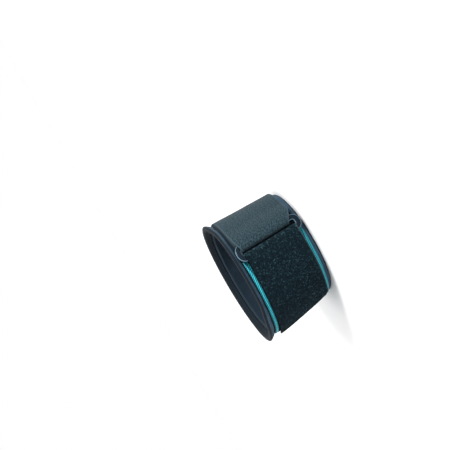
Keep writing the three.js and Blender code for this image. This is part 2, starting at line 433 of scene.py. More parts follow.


# Woven tape, with painted shade from where it turns over the rim
def tapeMaterial(name, colour, rimShadeColour, rimShadeFrom, rib, row):
    material, tree, shader = newMaterial(name)
    lengths = clothLengths(tree)
    threads = crossed(tree, lengths, rib, row)
    cloudy = noiseOf(tree, lengths, size=5, detail=3)
    across = addNode(tree, "ShaderNodeSeparateXYZ", {"Vector": lengths}).outputs["Y"]
    shadedRim = rampOver(tree, across, 10, [(rimShadeFrom - 0.5, black), (rimShadeFrom + 0.5, white)])
    toned = blendColours(tree, shadedRim, colour, rimShadeColour)
    faded = ramp(tree, cloudy, [(0.3, (0.75, 0.78, 0.8, 1)), (0.7, white)])
    base = multiplied(tree, toned, faded)
    gaps = ramp(tree, threads, [(0.0, greyOf(0.55)), (0.6, white)])
    matt(tree, shader, multiplied(tree, base, gaps), 0.85, sheen=0.04)
    bump(tree, shader, threads, strength=0.5, distance=0.25)
    return material


# A close plain weave of fine ribs along the band, with a paler selvedge
def weaveMaterial(name, colour, selvedge, warpPitch, weftPitch):
    material, tree, shader = newMaterial(name)
    lengths = clothLengths(tree)
    threads = crossed(tree, lengths, weftPitch, warpPitch, distortion=0.25)
    mottle = noiseOf(tree, lengths, size=1.1, detail=3, roughness=0.7)
    cloudy = noiseOf(tree, lengths, size=11)
    mottled = calculate(tree, "ADD", mottle, calculate(tree, "MULTIPLY", threads, 0.15))
    base = ramp(
        tree, mottled,
        [(0.4, shadeOf(colour, 0.2)), (0.55, shadeOf(colour, 0.95)), (0.68, shadeOf(colour, 2.3))],
    )
    faded = blendColours(tree, cloudy, (0.86, 0.88, 0.88, 1), (1.12, 1.1, 1.12, 1))
    toned = multiplied(tree, base, faded)
    edge = attributeOf(tree, "fromEdge")
    nearEdge = rampOver(
        tree, edge, 4, [(0.0, greyOf(0.55)), (0.72, white), (1.2, greyOf(0.1)), (1.52, black)]
    )
    matt(tree, shader, blendColours(tree, nearEdge, toned, selvedge), 0.8, sheen=0.06)
    bump(tree, shader, threads, strength=0.55, distance=0.2)
    return material


# The strap's own cloth under its pile
def pileGroundMaterial(name, colour, selvedge):
    material, tree, shader = newMaterial(name)
    lengths = clothLengths(tree)
    tufts = noiseOf(tree, lengths, size=0.8, detail=4, roughness=0.7)
    clumps = noiseOf(tree, lengths, size=2.4)
    mixed = calculate(tree, "MULTIPLY", tufts, calculate(tree, "ADD", clumps, 0.5))
    base = ramp(tree, mixed, [(0.3, shadeOf(colour, 0.45)), (0.75, shadeOf(colour, 1.8))])
    bare = ramp(tree, attributeOf(tree, "fromEdge"), [(0.7, white), (1.0, black)])
    matt(tree, shader, blendColours(tree, bare, base, selvedge), 0.95)
    bump(tree, shader, tufts, strength=0.9, distance=0.5)
    return material


# Loops of pile and stitches, each with its own shade
def threadMaterial(name, dark, light, roughness=0.8, sheen=0.0):
    material, tree, shader = newMaterial(name)
    own = attributeOf(tree, "shade")
    matt(tree, shader, ramp(tree, own, [(0.0, dark), (1.0, light)]), roughness, sheen)
    return material


# The turquoise edging: a satin face wound with slanting threads, with painted shade on its beads' flanks
def pipingMaterial(name, colour, pale, pitch, slant):
    material, tree, shader = newMaterial(name)
    lengths = clothLengths(tree)
    slanted = mapped(tree, lengths, Rotation=(0, 0, math.radians(slant)))
    threads = bands(tree, slanted, "X", pitch, distortion=0.3)
    wear = noiseOf(tree, lengths, size=6, detail=3)
    base = ramp(tree, threads, [(0.0, shadeOf(colour, 0.5)), (0.5, colour), (1.0, pale)])
    worn = ramp(tree, wear, [(0.3, (0.8, 0.84, 0.86, 1)), (0.7, white)])
    toned = multiplied(tree, base, worn)
    fromCrest = attributeOf(tree, "fromEdge")
    # Darker towards the beads' flanks: painted shade
    flankShade = ramp(tree, fromCrest, [(0.25, white), (0.95, (0.22, 0.36, 0.4, 1))])
    matt(tree, shader, multiplied(tree, toned, flankShade), 0.5, sheen=0.1)
    bump(tree, shader, threads, strength=0.5, distance=0.2)
    return material


# Moulded plastic: glossy, faintly rippled, with fine scuffs in its gloss and a painted highlight on its
# edges
def plasticMaterial(name, colour, highlightColour):
    material, tree, shader = newMaterial(name)
    lengths = placeLengths(tree)
    ripple = noiseOf(tree, lengths, size=3)
    marks = noiseOf(tree, lengths, size=0.5, detail=4, roughness=0.7)
    base = ramp(tree, ripple, [(0.3, shadeOf(colour, 0.85)), (0.7, shadeOf(colour, 1.3))])
    # Its rounded edges are painted paler: a painted highlight
    edge = attributeOf(tree, "edge")
    tree.links.new(blendColours(tree, edge, base, highlightColour), shader.inputs["Base Color"])
    gloss = ramp(tree, marks, [(0.35, greyOf(0.07)), (0.75, greyOf(0.16))])
    tree.links.new(gloss, shader.inputs["Roughness"])
    shader.inputs["Specular IOR Level"].default_value = shine
    bump(tree, shader, ripple, strength=0.25, distance=0.15)
    return material


def dress(piece, material, slot, *nodes):
    piece.data.materials.clear()
    piece.data.materials.append(material)
    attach(piece, "root")
    if nodes:
        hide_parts(*nodes)


# Camera at the photograph's angle, rolled as the strap lies there, and above the floor
camera = {
    "lens": 65,
    "sensor": 36,
    "elevation": 10.0,
    "roll": -120.34,
    "distance": 702.0,  # from the band's middle
    "aside": (25.94, -31.16),  # how far the band's middle is off the picture's, in the camera's own axes
    "aimHeight": 33.0,
}


def addCamera():
    lift, roll = math.radians(camera["elevation"]), math.radians(camera["roll"])
    back = Vector((0, -math.cos(lift), math.sin(lift)))
    up = Vector((0, math.sin(lift), math.cos(lift)))
    sideways = Vector((1, 0, 0))
    right = sideways * math.cos(roll) + up * math.sin(roll)
    upright = up * math.cos(roll) - sideways * math.sin(roll)
    aside, above = camera["aside"]
    middle = Vector((axisX + seat["lean"] / 2 * mm, axisY, camera["aimHeight"] * mm))
    place = middle + (back * camera["distance"] - right * aside - upright * above) * mm
    data = bpy.data.cameras.new("camera")
    data.lens = camera["lens"]
    data.sensor_width = camera["sensor"]
    eye = addObject("camera", data)
    axes = Matrix((right, upright, back)).transposed().to_4x4()
    eye.matrix_world = Matrix.Translation(place) @ axes
    bpy.context.scene.camera = eye


studio = {
    "floorSize": 6.0,
    "floorColour": (0.96, 0.96, 0.965, 1),
    "floorRoughness": 0.9,
    "worldColour": (1.0, 1.0, 1.0, 1),
    "worldStrength": 0.75,
    "sunPlace": (0.75, -0.45, 0.8),
    "sunStrength": 1.35,
    "sunAngle": 30.0,
    "aim": (0.0, 0.0, 0.03),  # of the lamps
    "lamps": [  # name, place, size, watts
        ("key", (0.95, -0.75, 0.5), 0.3, 12),
        ("fill", (-0.9, -0.8, 0.6), 0.25, 2),
        ("overhead", (0.0, 0.1, 1.3), 0.5, 4),
    ],
}


def addStudio():
    deselectAll()
    bpy.ops.mesh.primitive_plane_add(size=studio["floorSize"], location=(0, 0, 0))
    floor = named("floor")
    material, _, shader = newMaterial("floor")
    shader.inputs["Base Color"].default_value = studio["floorColour"]
    shader.inputs["Roughness"].default_value = studio["floorRoughness"]
    floor.data.materials.append(material)
    world = bpy.data.worlds.new("studio")
    world.use_nodes = True
    tree = world.node_tree
    backdrop = tree.nodes["Background"]
    backdrop.inputs["Color"].default_value = studio["worldColour"]
    seen = addNode(tree, "ShaderNodeLightPath").outputs["Is Camera Ray"]
    strength = calculate(tree, "MAXIMUM", seen, studio["worldStrength"])  # white behind the strap
    tree.links.new(strength, backdrop.inputs["Strength"])
    bpy.context.scene.world = world
    for name, place, size, watts in studio["lamps"]:
        data = bpy.data.lights.new(name, "AREA")
        data.size = size
        data.energy = watts
        lamp = addObject(name, data)
        lamp.location = place
        towards = Vector(studio["aim"]) - Vector(place)
        lamp.rotation_euler = towards.to_track_quat("-Z", "Y").to_euler()
    data = bpy.data.lights.new("sun", "SUN")
    data.energy = studio["sunStrength"]
    data.angle = math.radians(studio["sunAngle"])
    sun = addObject("sun", data)
    sun.rotation_euler = Vector(studio["sunPlace"]).to_track_quat("Z", "Y").to_euler()
    bpy.context.scene.view_settings.view_transform = "Standard"


addCamera()
addStudio()
print("camera and studio placed")

# The padded band and its bindings
wall = {
    "wristMargin": 3.5,
    "elbowMargin": 6.4,
    "elbowFlare": 5.2,
    "flareCurve": 0.62,  # how soon the elbow margin puffs out
    "dip": 1.5,  # how far the elbow rim is drawn down in front
    "dipTurns": (-45, -22, 50, 74),  # where that begins, is whole, ends and has faded
    "wristPuff": 0.5,
    "puffReach": 1.4,  # over how many times the wrist margin that fades out
    "rimWall": 4.8,
    "channelWall": 3.4,
    "thinningRun": 8.0,
    "facets": 300,
    "unevenness": 0.28,
    "unevennessSize": 16,
    "pucker": 0.12,
    "puckerSize": 4.5,
    "ripple": 0.5,
    "rippleSize": 13,
    "pressed": 0.21,  # how much of its unevenness is left outside, where the straps press on it
    "slack": 0.6,  # and how much of that and of its ripples on its inner face
    "bareTurns": (152, 164, 196, 208),  # where ripples begin at the back, are whole, end and have faded
    "rib": 0.9,
    "row": 0.7,
    "colour": (0.0165, 0.0345, 0.054, 1),
}
binding = {
    "width": 4.7,
    "wall": 0.9,
    "rimRound": 1.6,
    "edge": 0.3,  # rounding of its cut edges
    "wave": 0.35,  # how far its free edges wander
    "waveSize": 9,
    "puff": 0.1,
    "puffSize": 5,
    "rib": 0.7,
    "row": 0.55,
    # The wrist tape is painted paler than the elbow tape: painted light
    "litWristColour": (0.054, 0.107, 0.163, 1),
    "elbowColour": (0.046, 0.095, 0.142, 1),
    # Painted shade over the rim and on the inner face
    "rimShadeColour": (0.0085, 0.0165, 0.025, 1),
    "rimShadeFrom": 3.3,  # from its outer edge to where its painted shade begins
}
channelTop = bandHeight - wall["elbowMargin"]


# The length of a line of points up to each of them
def lengthsAlong(first, second):
    return np.concatenate([[0], np.cumsum(np.hypot(np.diff(first), np.diff(second)))])


# The rise of the band's outer face at a height
def outerRise(height):
    up = np.clip((height - channelTop) / wall["elbowMargin"], 0, 1)
    down = np.clip(1 - height / (wall["wristMargin"] * wall["puffReach"]), 0, 1)
    flare = wall["elbowFlare"] * up ** wall["flareCurve"]
    return flare + wall["wristPuff"] * np.sin(np.pi * down) * (down > 0)


def wallAt(height):
    run = binding["width"] + wall["thinningRun"]
    low = 1 - smooth(height, 0, run)
    high = smooth(height, bandHeight - run, bandHeight)
    return wall["channelWall"] + (wall["rimWall"] - wall["channelWall"]) * np.maximum(low, high)


# Heights with the elbow rim drawn down in front
def dipped(turn, height):
    start, whole, end, gone = wall["dipTurns"]
    turned = (turn + 180) % 360 - 180
    share = smooth(turned, start, whole) * (1 - smooth(turned, end, gone))
    return height - wall["dip"] * share * smooth(height, channelTop - 1, bandHeight)


# The band's outline, up its outer face and down its inner one: heights, rises and 1 on the inner face. Its
# rows lie closer together where it curls in at a rim, comes out from under the tape or puffs out.
def bandOutline():
    inset = binding["wall"] + seat["clearance"]
    bound = binding["width"] + seat["clearance"]
    rounding = binding["rimRound"] - inset
    rowStep = 0.8
    firstRow = 0.6
    rolled = rounding * (1 - np.cos(np.radians([0, 30, 60, 90])))
    up = np.concatenate([
        inset + rolled,
        np.arange(binding["rimRound"] + firstRow, bound, rowStep),
        bound + np.array([0, 0.25, 0.5, rowStep]),
        np.linspace(bound + 2 * rowStep, channelTop - 3 * rowStep, 26),
        channelTop + np.array([-1.6, -0.9, -0.3, 0, 0.15, 0.4, 0.8, 1.2]),
        bandHeight - bound - np.array([0.4, 0.2, 0]),
        np.arange(bandHeight - bound + firstRow, bandHeight - binding["rimRound"], rowStep),
        bandHeight - inset - rolled[::-1],
    ])
    fromRim = np.minimum(up, bandHeight - up)
    under = (1 - smooth(fromRim, bound, bound + rowStep)) * inset
    curl = np.clip((binding["rimRound"] - fromRim) / rounding, 0, 1)
    squeeze = under + rounding * (1 - np.sqrt(1 - curl**2))
    outer = outerRise(up) - squeeze
    inner = np.where(up > channelTop, outerRise(up), 0) - wallAt(up) + squeeze
    height = np.concatenate([up, up[::-1], up[:1]])
    rise = np.concatenate([outer, inner[::-1], outer[:1]])
    inside = np.concatenate([0 * up, 0 * up + 1, [0]])
    return height, rise, inside


def softness(turn, height, inside):
    untaped = smooth(np.minimum(height, bandHeight - height), 2, 9)
    uneven = roundUnevenness(turn, height, wall["unevennessSize"], seed=3.1) * wall["unevenness"]
    puckers = roundUnevenness(turn, height, wall["puckerSize"], seed=8.7) * wall["pucker"]
    ripples = roundUnevenness(turn, height / 2, wall["rippleSize"], seed=6.3) * wall["ripple"]
    start, whole, end, gone = wall["bareTurns"]
    bare = smooth(turn, start, whole) * (1 - smooth(turn, end, gone))
    soft = (uneven + puckers) * mix(wall["pressed"], wall["slack"], inside)
    return (soft + ripples * np.where(inside == 1, wall["slack"], bare)) * untaped


def makeBand():
    height, rise, inside = bandOutline()
    turn = np.linspace(0, 360, wall["facets"] + 1)[:, None]
    rises = rise + softness(turn, height, inside)
    places = onSeat(turn, dipped(turn, height), rises)
    places[-1] = places[0]
    piece = gridPiece("paddedBand", places, turn * girthPerDegree, lengthsAlong(height, rise))
    closeMesh(piece)
    smoothShade(piece)
    knit = knitMaterial("navyKnit", wall["colour"], wall["rib"], wall["row"], sheen=0.04)
    dress(piece, knit, "padded_foam", "padded_band")


# The tape's middle layer runs from its outer edge round the rim to its inner edge. Depth is the distance
# from the rim.
def makeBinding(name, atElbow):
    half = binding["wall"] / 2
    bend = binding["rimRound"] - half
    leg = np.linspace(binding["width"], binding["rimRound"], 9)[:-1]
    arc = np.radians(np.linspace(0, 90, 7))
    turned = binding["rimRound"] - bend * np.sin(arc)
    flat = np.linspace(0, 1, 4)[1:-1]
    depth = np.concatenate([leg, turned, 0 * flat + half, turned[::-1], leg[::-1]])
    height = bandHeight - depth if atElbow else depth
    outer = outerRise(height)
    inner = np.where(height > channelTop, outer, 0) - wallAt(height)
    outside = np.concatenate([0 * leg + half, binding["rimRound"] - bend * np.cos(arc)])
    count = len(outside)
    onRim = slice(count, count + len(flat))
    across = (outer - inner)[onRim] - 2 * binding["rimRound"]
    rise = np.concatenate([
        outer[:count] - outside,
        outer[onRim] - binding["rimRound"] - across * flat,
        inner[-count:] + outside[::-1],
    ])
    turn = np.linspace(0, 360, wall["facets"] + 1)[:, None]
    edge = smooth(depth, binding["rimRound"] * 1.5, binding["width"])
    wander = roundUnevenness(turn, depth * 0, binding["waveSize"], seed=1.3 + atElbow)
    wander = wander * binding["wave"] * edge
    heights = height + (wander if atElbow else -wander)
    puff = roundUnevenness(turn, depth, binding["puffSize"], seed=5.9 + atElbow)
    puff = puff * binding["puff"] * smooth(depth, 1.2, 3)
    sides = np.concatenate([np.ones(count), np.zeros(len(flat)), -np.ones(count)])
    places = onSeat(turn, dipped(turn, heights), rise + puff * sides)
    places[-1] = places[0]
    piece = gridPiece(name, places, turn * girthPerDegree, lengthsAlong(height, rise))
    closeMesh(piece)
    addModifier(piece, "SOLIDIFY", thickness=binding["wall"] * mm, offset=0, use_even_offset=False)
    roundEdges(piece, binding["edge"] * mm, segments=2)
    closeMesh(piece)
    smoothShade(piece)
    return piece


makeBand()
for name, node, atElbow, colour in (
    ("wristBinding", "wrist_binding", False, binding["litWristColour"]),
    ("elbowBinding", "elbow_binding", True, binding["elbowColour"]),
):
    tape = tapeMaterial(
        name + "Tape", colour, binding["rimShadeColour"], binding["rimShadeFrom"], binding["rib"], binding["row"]
    )
    dress(makeBinding(name, atElbow), tape, "binding_tape", node)
print("padded band and bindings made")

# The turquoise accent band with its two rolled edges
accent = {
    "startGirth": -5.5,
    "endTurn": -150.0,
    "beadWidths": (3.2, 3.4),  # at the wrist side and at the elbow side
    "highlightShift": (0.42, 0.0),  # how far their painted highlight lies towards the strap
    "beadStart": 0.3,  # their width at the ring, as a share
    "beadGrown": 15.0,  # the girth over which they widen
    "beadHeights": (1.7, 2.1),
    "rolled": (-0.5, 1.15),  # from where to where a bead goes round, in half turns
    "wander": 0.12,
    "wanderSize": 22,
    "colour": (0.008, 0.31, 0.38, 1),
    "pale": (0.09, 0.72, 0.82, 1),
    "threadPitch": 1.5,
    "threadSlant": 38.0,
}


def makeAccent():
    bottom = seat["clearance"]
    arc = np.linspace(*accent["rolled"], 15) * math.pi
    girth = np.arange(accent["startGirth"], girthOf(accent["endTurn"]), -pathStep)[:, None]
    grown = mix(accent["beadStart"], 1, smooth(accent["startGirth"] - girth, 0, accent["beadGrown"]))
    outline = []
    for side, edge, width, tall, highlightShift in zip(
        (-1, 1), (accentLow, accentHigh), accent["beadWidths"], accent["beadHeights"], accent["highlightShift"]
    ):
        # Each point's last value is how far it lies from the bead's painted highlight
        bead = [
            (edge, -side * width / 2 * (1 - math.cos(a)), bottom + tall / 2 * (1 + math.sin(a)),
             abs(math.cos(a) + highlightShift) / (1 + highlightShift))
            for a in arc[::side]
        ]
        outline = bead + outline
    outline.append(outline[0])
    edge, inwards, rise, fromCrest = np.array(outline).T
    height = edge + inwards * grown
    wander = unevenness(girth, 0 * girth, accent["wanderSize"], seed=4.2) * accent["wander"]
    places = onSeat(turnOf(girth), height + wander, rise)
    piece = gridPiece("accentBand", places, girth, lengthsAlong(edge + inwards, rise), fromCrest)
    closeMesh(piece, fillEnds=True)
    smoothShade(piece)
    piping = pipingMaterial(
        "turquoisePiping", accent["colour"], accent["pale"], accent["threadPitch"], accent["threadSlant"]
    )
    dress(piece, piping, "turquoise_cloth", "accent_band")


makeAccent()
print("accent band made")


# The ring, cut as a flat oblong round its slot, thickened, rounded and laid on the seat
def makeRing():
    slotWidth = ring["slotHeight"]
    outerWidth = slotWidth + 2 * ring["barWidth"]
    outerLength = ring["slotLength"] + 2 * ring["endWidth"]
    deselectAll()
    bpy.ops.mesh.primitive_plane_add(size=1)
    piece = named("buckleRing")
    bpy.ops.object.mode_set(mode="EDIT")
    bpy.ops.transform.resize(value=(outerWidth, outerLength, 1))
    bpy.ops.mesh.bevel(offset=ring["slotCorner"] + ring["barWidth"], segments=6, affect="VERTICES")
    bpy.ops.mesh.select_all(action="SELECT")
    bpy.ops.mesh.inset(thickness=ring["barWidth"], depth=0)
    insetLength = outerLength - 2 * ring["barWidth"]
    bpy.ops.transform.resize(value=(1, ring["slotLength"] / insetLength, 1))
    bpy.ops.mesh.delete(type="FACE")
    bpy.ops.mesh.select_all(action="SELECT")
    bpy.ops.mesh.extrude_region_move(TRANSFORM_OT_translate={"value": (0, 0, ring["thickness"])})
    cutReach = 0.42 * ring["slotLength"]
    for place in np.linspace(-cutReach, cutReach, ring["cuts"]):
        bpy.ops.mesh.select_all(action="SELECT")
        bpy.ops.mesh.bisect(plane_co=(0, place, 0), plane_no=(0, 1, 0))
    bpy.ops.object.mode_set(mode="OBJECT")
    closeMesh(piece)
    roundEdges(piece, ring["edge"], segments=5)
    flat = pointsOf(piece)
    below = (ring["thickness"] - flat[:, 2]) / ring["edge"]
    outside = (np.abs(flat[:, 0]) > (slotWidth + ring["barWidth"]) / 2) | (
        np.abs(flat[:, 1]) > (ring["slotLength"] + ring["endWidth"]) / 2
    )
    # A painted highlight on the rounded edges, fainter on the slot's edges
    highlightFrom, highlightTo = ring["highlighted"]
    highlighted = (below > highlightFrom) & (below < highlightTo)
    setAttribute(piece, "edge", highlighted * np.where(outside, 1, ring["slotHighlight"]))
    rise = ring["rise"] - ring["thickness"] / 2 + flat[:, 2]
    setPoints(piece, onSeat(turnOf(flat[:, 0]), strapCentre + flat[:, 1], rise))
    closeMesh(piece)
    smoothShade(piece, 45)
    plastic = plasticMaterial("darkPlastic", ring["colour"], ring["highlightColour"])
    dress(piece, plastic, "dark_plastic", "ring")


makeRing()
print("ring made")


# Stretches of a strap's path, as girths and rises of its middle layer: round a bar, eased or level
def roundBar(side, wallOfStrap):
    reach = ring["barWidth"] / 2 + seat["clearance"] + wallOfStrap / 2
    lift = ring["thickness"] / 2 + seat["clearance"] + wallOfStrap / 2
    barOffset = ring["slotHeight"] / 2 + ring["barWidth"] / 2
    angle = np.radians(np.linspace(-90, 90, 25))
    return side * (barOffset - reach * np.cos(angle)), ring["rise"] + lift * np.sin(angle)


def eased(fromGirth, toGirth, fromRise, toRise, count=24):
    girth = np.linspace(fromGirth, toGirth, count)
    share = (girth - fromGirth) / (toGirth - fromGirth)
    return girth, mix(fromRise, toRise, smooth(share, 0, 1))


def level(fromGirth, toGirth, rise):
    count = max(2, round(abs(toGirth - fromGirth) / pathStep))
    girth = np.linspace(fromGirth, toGirth, count)
    return girth, 0 * girth + rise


def joined(*stretches):
    girth = np.concatenate([stretch[0] for stretch in stretches])
    rise = np.concatenate([stretch[1] for stretch in stretches])
    keep = np.concatenate([[True], np.hypot(np.diff(girth), np.diff(rise)) > 0.02])
    return girth[keep], rise[keep]


def directions(girth, rise):
    alongGirth, alongRise = np.gradient(girth), np.gradient(rise)
    length = np.hypot(alongGirth, alongRise)
    return alongGirth / length, alongRise / length


# Places at an offset from a strap's middle layer, at shares of its width
def onStrap(strip, share, offset):
    alongGirth, alongRise = strip["directions"]
    g = strip["girth"][:, None] + strip["slant"][:, None] * (1 - share) - alongRise[:, None] * offset
    r = strip["rise"][:, None] + strip["twist"][:, None] * (1 - share) + alongGirth[:, None] * offset
    z = mix(strip["low"][:, None], strip["high"][:, None], share)
    return onSeat(turnOf(g), z, r)


# How far a strap's cloth wanders off its path
def clothWander(strip, length, across):
    sag, seed = strip["wander"]
    return unevenness(length, across, size=15, seed=seed) * sag


# A strap with square ends, straight round the seat
def plainStrip(girth, rise, middle, half):
    return {
        "girth": girth, "rise": rise, "low": middle - half, "high": middle + half,
        "slant": 0 * girth, "twist": 0 * girth, "elbowShadeCover": 0,
    }


edgeShare = 0.36  # of a strap's thickness, the rounding of its edges


def makeStrip(name, strip, thickness, sag, seed):
    sideRows = np.array([0, 0.008, 0.02])  # closer together, for the selvedges
    rows = np.concatenate([sideRows, np.linspace(0.04, 0.96, 38), 1 - sideRows[::-1]])
    girth, rise = strip["girth"], strip["rise"]
    length = lengthsAlong(girth, rise)
    strip.update(directions=directions(girth, rise), length=length, wander=(sag, seed))
    width = (strip["high"] - strip["low"])[:, None]
    offset = clothWander(strip, length[:, None], rows * width)
    places = onStrap(strip, rows, offset)
    # The elbow selvedge may keep the ground's darker colour: painted shade
    fromSide = np.minimum(rows, 1 - rows + strip["elbowShadeCover"]) * width
    fromEnd = np.minimum(length, length[-1] - length)[:, None]
    fromEdge = np.minimum(fromSide, fromEnd)
    piece = gridPiece(name, places, length[:, None], rows * width, fromEdge)
    addModifier(piece, "SOLIDIFY", thickness=thickness * mm, offset=0, use_even_offset=False)
    roundEdges(piece, edgeShare * thickness * mm, segments=3)
    closeMesh(piece)
    smoothShade(piece)
    return piece


# The grey webbing tab, doubled round the upper bar
tab = {
    "width": 44.0,
    "spread": 8.6,  # how much wider it is away from the ring
    "taper": 13.0,  # the girth over which it narrows
    "shoulder": 1.8,  # how suddenly it does
    "shift": 1.8,  # how far the ring draws it to the elbow side
    "wall": 1.3,
    "anchorTurn": 150.0,
    "settle": 22.0,  # the girth over which it comes down from the bar
    "sag": 0.12,
    "warpPitch": 0.85,
    "weftPitch": 0.6,
    "colour": (0.014, 0.0303, 0.039, 1),
    "selvedge": (0.03, 0.055, 0.068, 1),
}
tab["underRise"] = seat["clearance"] + tab["wall"] / 2
tab["outerRise"] = tab["underRise"] + tab["wall"] + seat["clearance"]


def tabStrip():
    bendGirth, bendRise = roundBar(1, tab["wall"])
    barOffset = bendGirth[-1]
    settled = barOffset + tab["settle"]
    end = girthOf(tab["anchorTurn"])
    girth, rise = joined(
        level(end, settled, tab["underRise"]),
        eased(settled, bendGirth[0], tab["underRise"], bendRise[0]),
        (bendGirth, bendRise),
        eased(bendGirth[-1], settled, bendRise[-1], tab["outerRise"]),
        level(settled, end, tab["outerRise"]),
    )
    away = np.clip((girth - ring["slotHeight"] / 2) / tab["taper"], 0, 1)
    gathered = (1 - away) ** tab["shoulder"]
    half = (tab["width"] + tab["spread"] * (1 - gathered)) / 2
    return plainStrip(girth, rise, strapCentre + tab["shift"] * gathered, half)


webbing = makeStrip("webbingTab", tabStrip(), tab["wall"], tab["sag"], seed=2.4)
weave = weaveMaterial("greyWebbing", tab["colour"], tab["selvedge"], tab["warpPitch"], tab["weftPitch"])
dress(webbing, weave, "grey_webbing", "webbing_tab")
print("webbing tab made")

# The closure strap, through the slot and back over itself
strap = {
    "width": 47.4,
    "spread": 1.1,
    "wall": 1.2,
    "anchorTurn": -141.0,
    "endTurn": -79.7,
    "settle": 24.0,
    "tipRadii": (11.6, 4.2),  # of its corners at the wrist edge and at the elbow edge
    "tipFree": 29.0,  # over which its free end lifts and slants
    "tipSlant": 14.9,
    "tipLift": 0.4,
    "tipTwist": 0.5,
    "underRise": 2.0,
    "outerRise": 4.3,
    "sag": 0.1,
    "elbowShadeCover": 0.03,  # how far its ground goes on past its elbow selvedge, as a share of its width: painted shade on that edge
    "colour": (0.0006, 0.0055, 0.0095, 1),
    "selvedge": (0.028, 0.047, 0.058, 1),
}


# How far a rounded corner draws an edge in at a length from the end
def cornerInset(radius, fromEnd):
    share = np.clip(1 - fromEnd / radius, 0, 1)
    return radius * (1 - np.sqrt(1 - share**2))


def closureStrip():
    bendGirth, bendRise = roundBar(-1, strap["wall"])
    settled = bendGirth[-1] - strap["settle"]
    tip = girthOf(strap["endTurn"])
    corner = np.radians(np.linspace(0, 90, 19))
    wristRadius = strap["tipRadii"][0]
    under = level(girthOf(strap["anchorTurn"]), bendGirth[0], strap["underRise"])
    girth, rise = joined(
        under,
        (bendGirth, bendRise),
        eased(bendGirth[-1], settled, bendRise[-1], strap["outerRise"]),
        level(settled, tip + wristRadius, strap["outerRise"]),
        (tip + wristRadius * (1 - np.sin(corner)), 0 * corner + strap["outerRise"]),
    )
    outer = np.arange(len(girth)) > len(under[0]) + len(bendGirth) / 2
    fromTip = np.where(outer, girth - tip, np.inf)
    free = np.clip(1 - fromTip / strap["tipFree"], 0, 1)
    lowInset, highInset = (cornerInset(radius, fromTip) for radius in strap["tipRadii"])
    barEnd = ring["slotHeight"] / 2 + ring["barWidth"] * 1.5
    spread = strap["spread"] * smooth(np.abs(girth), barEnd, barEnd + strap["settle"])
    half = (strap["width"] + spread) / 2
    return {
        "girth": girth, "rise": rise + strap["tipLift"] * free**2,
        "low": strapCentre - half + lowInset, "high": strapCentre + half - highInset,
        "slant": strap["tipSlant"] * free, "twist": strap["tipTwist"] * free**2, "outer": outer,
        "elbowShadeCover": strap["elbowShadeCover"],
    }


closure = closureStrip()
closureStrap = makeStrip("closureStrap", closure, strap["wall"], strap["sag"], seed=6.8)
ground = pileGroundMaterial("pileGround", strap["colour"], strap["selvedge"])
dress(closureStrap, ground, "dark_pile", "closure_strap")
print("closure strap made")

# Loops of pile on the strap's outward faces
pile = {
    "loops": 15500,  # in each of its pieces
    "length": 1.1,
    "radius": 0.11,
    "height": 0.42,
    "across": (0.016, 0.996),  # between which shares of the strap's width they stand
    "rooted": 0.05,  # how deep in its cloth
    "lean": 0.35,
    "sizes": (0.7, 1.2),
    "tuft": 1.65,  # from the middle of one tuft to the next
    "tuftShift": 0.38,  # how far a tuft may lie off its place, as a share of that
    "tuftReach": 0.7,
    "dullest": 0.12,
    "intoBend": 8,  # how many samples before the strap's turn round the bar it begins
    "bareTip": 3.5,  # and how many before the tip it ends
    "underLap": 4.0,  # how far it goes on under the free end
    "dark": (0.0003, 0.0042, 0.0072, 1),
    "light": (0.044, 0.104, 0.128, 1),
}


# How near each loop is to the middle of its tuft, from 0 to 1, and how pale that tuft is
def tuftsAt(along, across, seed):
    own = np.random.default_rng(seed)
    patch = 256  # tufts until they repeat
    shift = own.uniform(-pile["tuftShift"], pile["tuftShift"], (patch, patch, 2))
    paleness = own.uniform(0, 1, (patch, patch))
    u, v = along / pile["tuft"], across / pile["tuft"]
    nearest = np.full(len(u), np.inf)
    tone = np.zeros(len(u))
    for du in (-1, 0, 1):
        for dv in (-1, 0, 1):
            column, row = np.floor(u).astype(int) + du, np.floor(v).astype(int) + dv
            middle = shift[column % patch, row % patch]
            away = np.hypot(column + 0.5 + middle[:, 0] - u, row + 0.5 + middle[:, 1] - v)
            closer = away < nearest
            nearest = np.where(closer, away, nearest)
            tone = np.where(closer, paleness[column % patch, row % patch], tone)
    return np.clip(1 - nearest / pile["tuftReach"], 0, 1), tone


